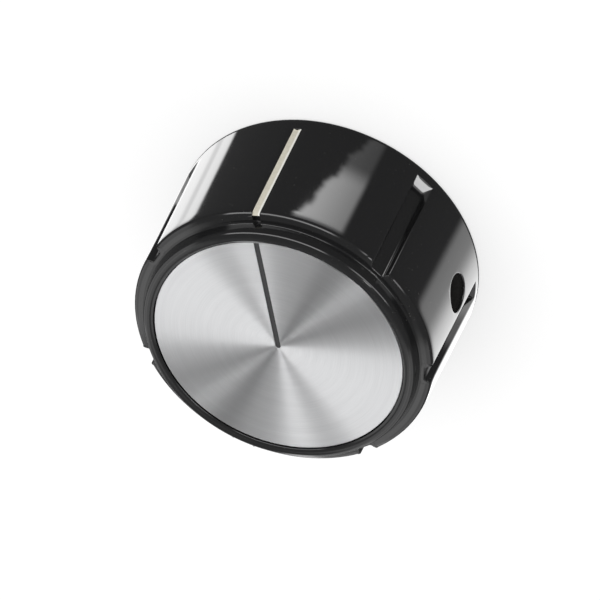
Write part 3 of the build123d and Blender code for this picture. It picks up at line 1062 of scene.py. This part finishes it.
def strip_outline(half, first, last, round_first, dip=0.0, fine=0.0, count=9):
    """Half of a strip's outline, from the middle of its first end along the right side to the middle of its
    last end: the first end is round, or square with a dip in its middle, and the last one is square. Its last
    stretch is divided finely. Points across and along the strip."""
    if round_first:
        turn = quarter(count)
        start = np.column_stack((half * np.sin(turn), first + half * (1 - np.cos(turn))))
    else:
        across = np.linspace(0, half, count)
        start = np.column_stack((across, first + dip * (1 - across / half)))
    coarse = np.linspace(start[-1, 1], last - fine, 22)[1:]
    along = np.concatenate((coarse, np.linspace(last - fine, last, 10)[1:-1]))
    side = np.column_stack((np.full(len(along), half), along))
    end = np.column_stack((np.linspace(half, 0, 5), np.full(5, last)))
    return np.concatenate((start, side, end))


def whole_outline(right):
    """A closed outline, counter-clockwise, from its right half, which starts and ends in the middle."""
    return np.concatenate((right, right[-2:0:-1] * (-1, 1)))


def ladder(first, count, flips=False):
    """Faces across a closed outline between its two mirrored halves, for a ring of points from a number."""
    half = count // 2
    k = np.arange(1, half - 1)
    quads = np.stack((k, k + 1, count - k - 1, count - k), 1)
    ends = np.array(((0, 1, count - 1), (half, half + 1, half - 1)))
    if flips:
        quads, ends = quads[:, ::-1], ends[:, ::-1]
    return quads + first, ends + first


def rings_of_faces(rings, count):
    """Quads between rings of points that follow one another."""
    k = np.arange(count)
    each = [np.stack((r * count + k, r * count + (k + 1) % count, (r + 1) * count + (k + 1) % count,
                      (r + 1) * count + k), 1) for r in range(rings - 1)]
    return np.concatenate(each)


def painted_strip(face, half, first, last, round_first, deep, dip=0.0, fall=0.0):
    """A closed strip of paint in a flat frame: across, along and depth below the surface. Its face hangs
    between the groove's sides, lowest in the middle, and over its last stretch it falls as the square of the
    way along that stretch."""
    stretch = face.paint_fall_length
    right = strip_outline(half, first, last, round_first, dip, stretch)
    outline = whole_outline(right)
    count = len(outline)
    rings = [np.column_stack((outline, np.full(count, -deep)))]
    for share in (1, 0.85, 0.65, 0.4, 0.15):
        inner = outline * (share, 1)
        gap = (1 - share) * half
        inner[:, 1] = first + gap + (inner[:, 1] - first) * (last - first - 2 * gap) / (last - first)
        sag = face.paint_rise + (face.paint_sink - face.paint_rise) * (1 - share ** 2)
        way = np.clip((inner[:, 1] - last + stretch) / stretch, 0, 1)
        rings.append(np.column_stack((inner, -sag - (fall - sag) * way ** 2 * (fall > 0))))
    points = np.concatenate(rings)
    sides = rings_of_faces(len(rings), count)
    low, low_ends = ladder(0, count, flips=True)
    top, top_ends = ladder((len(rings) - 1) * count, count)
    return points, (sides, low, top), (low_ends, top_ends)


class KNOB_OT_body(bpy.types.Operator):
    """Builds the moulded body with its flutes, collar, hollow underside and screw hole"""

    bl_idname = "knob.body"
    bl_label = "Moulded Body"

    def execute(self, context):
        body = context.scene.knob_body
        points, quads, triangles = body_surface(body)
        mesh = new_mesh("moulded_body", points, quads, triangles)
        # The "dust" attribute marks the screw's hole, which the moulding's material lightens as dust and as
        # painted light.
        dust = mesh.attributes.new("dust", "FLOAT", "POINT")
        dust.data.foreach_set("value", hole_dust_and_light(body, points))
        piece = new_object("moulded_body", mesh)
        give(piece, phenolic_material(context.scene.knob_finish))
        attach(piece, BODY)
        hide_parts("knob_body")
        return {"FINISHED"}


class KNOB_OT_disc(bpy.types.Operator):
    """Builds the face disc with its engraved line, whose edges are bevelled"""

    bl_idname = "knob.disc"
    bl_label = "Face Disc"

    def execute(self, context):
        face = context.scene.knob_face
        half, top, bottom = face.disc_line_width / 2, disc_high.z, disc_low.z
        radius, bevel = disc_high.x, face.disc_bevel
        end = radius - face.disc_line_end
        outline = whole_outline(strip_outline(half, -half, end, True))
        grown = whole_outline(strip_outline(half + bevel, -half - bevel, end + bevel, True))
        turn = np.unwrap(np.arctan2(grown[:, 1] - radius / 3, grown[:, 0]))
        turn = np.linspace(turn[0], turn[0] + 2 * pi, len(turn) + 1)[:-1]
        circle = np.column_stack((np.cos(turn), np.sin(turn)))
        rings = [(outline, top - face.disc_line_depth), (outline, top - bevel), (grown, top)]
        rings += [(grown + share * ((radius - bevel) * circle - grown), top) for share in (0.1, 0.4, 0.7, 1)]
        rings += [(radius * circle, top - bevel), (radius * circle, bottom + bevel),
                  ((radius - bevel) * circle, bottom), (0.5 * radius * circle, bottom)]
        count = len(outline)
        points = np.concatenate([np.column_stack((flat, np.full(count, z))) for flat, z in rings])
        points = np.concatenate((points, ((0, 0, bottom),)))
        k = (len(rings) - 1) * count + np.arange(count)
        fan = np.stack((k, np.roll(k, -1), np.full(count, len(points) - 1)), 1)
        floor, ends = ladder(0, count)
        mesh = new_mesh("spun_disc", points, rings_of_faces(len(rings), count), floor, ends, fan)
        piece = new_object("spun_disc", mesh)
        give(piece, aluminium_material(context.scene.knob_finish))
        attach(piece, BODY)
        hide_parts("face_disc")
        return {"FINISHED"}


class KNOB_OT_lines(bpy.types.Operator):
    """Builds the paint in the engraved line of the disc and in the groove of the side wall"""

    bl_idname = "knob.lines"
    bl_label = "Painted Lines"

    def execute(self, context):
        body, face, finish = context.scene.knob_body, context.scene.knob_face, context.scene.knob_finish
        gap = face.paint_gap
        points, quads, ends = painted_strip(
            face, face.disc_line_width / 2 - gap, gap - face.disc_line_width / 2,
            disc_high.x - face.disc_line_end - gap, True, face.disc_line_depth - gap
        )
        points[:, 2] += disc_high.z
        self.add("disc_line_paint", "face_disc_line", "black_line_paint", points, quads, ends,
                 paint_material("black_line_paint", finish.black_paint, 0.45))

        length = body.height - body.collar_height - body.ledge_fall - body.line_start
        points, quads, ends = painted_strip(
            face, body.line_width / 2 - gap, gap, length - face.side_line_gap, False, body.line_depth - gap,
            face.paint_dip, body.line_depth - 2 * face.paint_rise
        )
        across, along, deep = points.T
        height = body.line_start + along
        reach = body.base_radius - wall_lean(body) * height + deep
        wall = np.stack((-across, np.sqrt(reach ** 2 - across ** 2), height), 1)
        # A painted highlight along one edge of the cream line.
        painted_highlight = (PAINTED_HIGHLIGHT_START * body.line_width, PAINTED_HIGHLIGHT_WIDTH * body.line_width, finish.cream_paint_highlight)
        self.add("side_line_paint", "side_index_line", "cream_line_paint", wall, quads, ends,
                 paint_material("cream_line_paint", finish.cream_paint, 0.5, painted_highlight))
        return {"FINISHED"}

    def add(self, name, node, slot, points, quads, ends, material):
        """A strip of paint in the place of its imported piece."""
        piece = new_object(name, new_mesh(name, points, *quads, *ends))
        give(piece, material)
        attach(piece, BODY)
        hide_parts(node)


class KNOB_OT_stage(bpy.types.Operator):
    """Adds the camera, the pale floor, the room light and the softboxes"""

    bl_idname = "knob.stage"
    bl_label = "Stage"

    def execute(self, context):
        stage = context.scene.knob_stage
        room_world(stage)

        floor = bpy.data.meshes.new("floor")
        low, high = -FLOOR_SIDE, FLOOR_SIDE
        corners = [(*end, -stage.floor_drop) for end in ((low, low), (high, low), (high, high), (low, high))]
        floor.from_pydata(corners, [], [(0, 1, 2, 3)])
        floor_object = new_object("floor", floor)
        give(floor_object, floor_material(stage))

        shining = card_material()
        for card in (floor_card(stage, context.scene.knob_body), ring_card(stage, context.scene.knob_body),
                     tent_card(stage)):
            give(card, shining)

        lamp_data = bpy.data.lights.new("overhead_softbox", "AREA")
        lamp_data.size = LAMP_SIZE
        lamp_data.energy = stage.lamp_power
        lamp = bpy.data.objects.new("overhead_softbox", lamp_data)
        context.scene.collection.objects.link(lamp)
        lamp.location = LAMP_PLACE
        lamp.rotation_euler = Vector(lamp.location).to_track_quat("Z", "Y").to_euler()
        lamp.visible_camera = False
        lamp.visible_glossy = False

        self.add_camera(context, stage)
        context.scene.view_settings.view_transform = "Standard"
        return {"FINISHED"}

    def add_camera(self, context, stage):
        """A long lens along the line of sight, rolled, and shifted sideways in its own plane so that
        the disc's centre falls on its pixel."""
        camera_data = bpy.data.cameras.new("camera")
        camera = bpy.data.objects.new("camera", camera_data)
        context.scene.collection.objects.link(camera)
        context.scene.camera = camera
        back = Vector(sight(stage))
        right = Vector((0, 0, 1)).cross(back).normalized()
        up = back.cross(right)
        turned_right = right * cos(stage.roll) + up * sin(stage.roll)
        turned_up = up * cos(stage.roll) - right * sin(stage.roll)
        centre = Vector((0, 0, disc_high.z))
        off_right = (stage.face_x - IMAGE_SIZE / 2) / stage.pixels_per_metre
        off_up = (IMAGE_SIZE / 2 - stage.face_y) / stage.pixels_per_metre
        spot = centre + back * stage.distance - turned_right * off_right - turned_up * off_up
        pose = Matrix((turned_right, turned_up, back)).transposed().to_4x4()
        pose.translation = spot
        camera.matrix_world = pose
        camera_data.lens = camera_data.sensor_width * stage.pixels_per_metre * stage.distance / IMAGE_SIZE
        camera_data.clip_start, camera_data.clip_end = CLIP_RANGE


class KNOB_OT_dress(bpy.types.Operator):
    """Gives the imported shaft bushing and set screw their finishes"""

    bl_idname = "knob.dress"
    bl_label = "Finishes"

    def execute(self, context):
        finish = context.scene.knob_finish
        nodes = frame["nodes"]
        give(nodes["shaft_bushing"], metal_material("turned_brass", finish.brass, 0.25, 2500))
        give(nodes["set_screw"], metal_material("black_oxide_steel", finish.oxide, 0.35, 3500))
        return {"FINISHED"}


class KNOB_PT_sidebar(bpy.types.Panel):
    """Lists the knob's pieces and sizes"""

    bl_label = "Dial Knob"
    bl_idname = "KNOB_PT_sidebar"
    bl_space_type = "VIEW_3D"
    bl_region_type = "UI"
    bl_category = "Dial Knob"

    def draw(self, context):
        scene = context.scene
        for settings in (scene.knob_body, scene.knob_face, scene.knob_finish, scene.knob_stage):
            for name in settings.__annotations__:
                self.layout.prop(settings, name)
        for operator in OPERATORS:
            self.layout.operator(operator.bl_idname)


OPERATORS = (KNOB_OT_body, KNOB_OT_disc, KNOB_OT_lines, KNOB_OT_dress, KNOB_OT_stage)
CLASSES = (KnobBody, KnobFace, KnobFinish, KnobStage, *OPERATORS, KNOB_PT_sidebar)


def register():
    """Registers the classes and the scene's settings."""
    for each in CLASSES:
        bpy.utils.register_class(each)
    bpy.types.Scene.knob_body = PointerProperty(type=KnobBody)
    bpy.types.Scene.knob_face = PointerProperty(type=KnobFace)
    bpy.types.Scene.knob_finish = PointerProperty(type=KnobFinish)
    bpy.types.Scene.knob_stage = PointerProperty(type=KnobStage)


def unregister():
    """Removes the scene's settings and the classes."""
    del bpy.types.Scene.knob_stage
    del bpy.types.Scene.knob_finish
    del bpy.types.Scene.knob_face
    del bpy.types.Scene.knob_body
    for each in reversed(CLASSES):
        bpy.utils.unregister_class(each)


def main():
    """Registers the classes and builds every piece."""
    register()
    bpy.ops.knob.body()
    bpy.ops.knob.disc()
    bpy.ops.knob.lines()
    bpy.ops.knob.dress()
    bpy.ops.knob.stage()


if __name__ == "__main__":
    main()
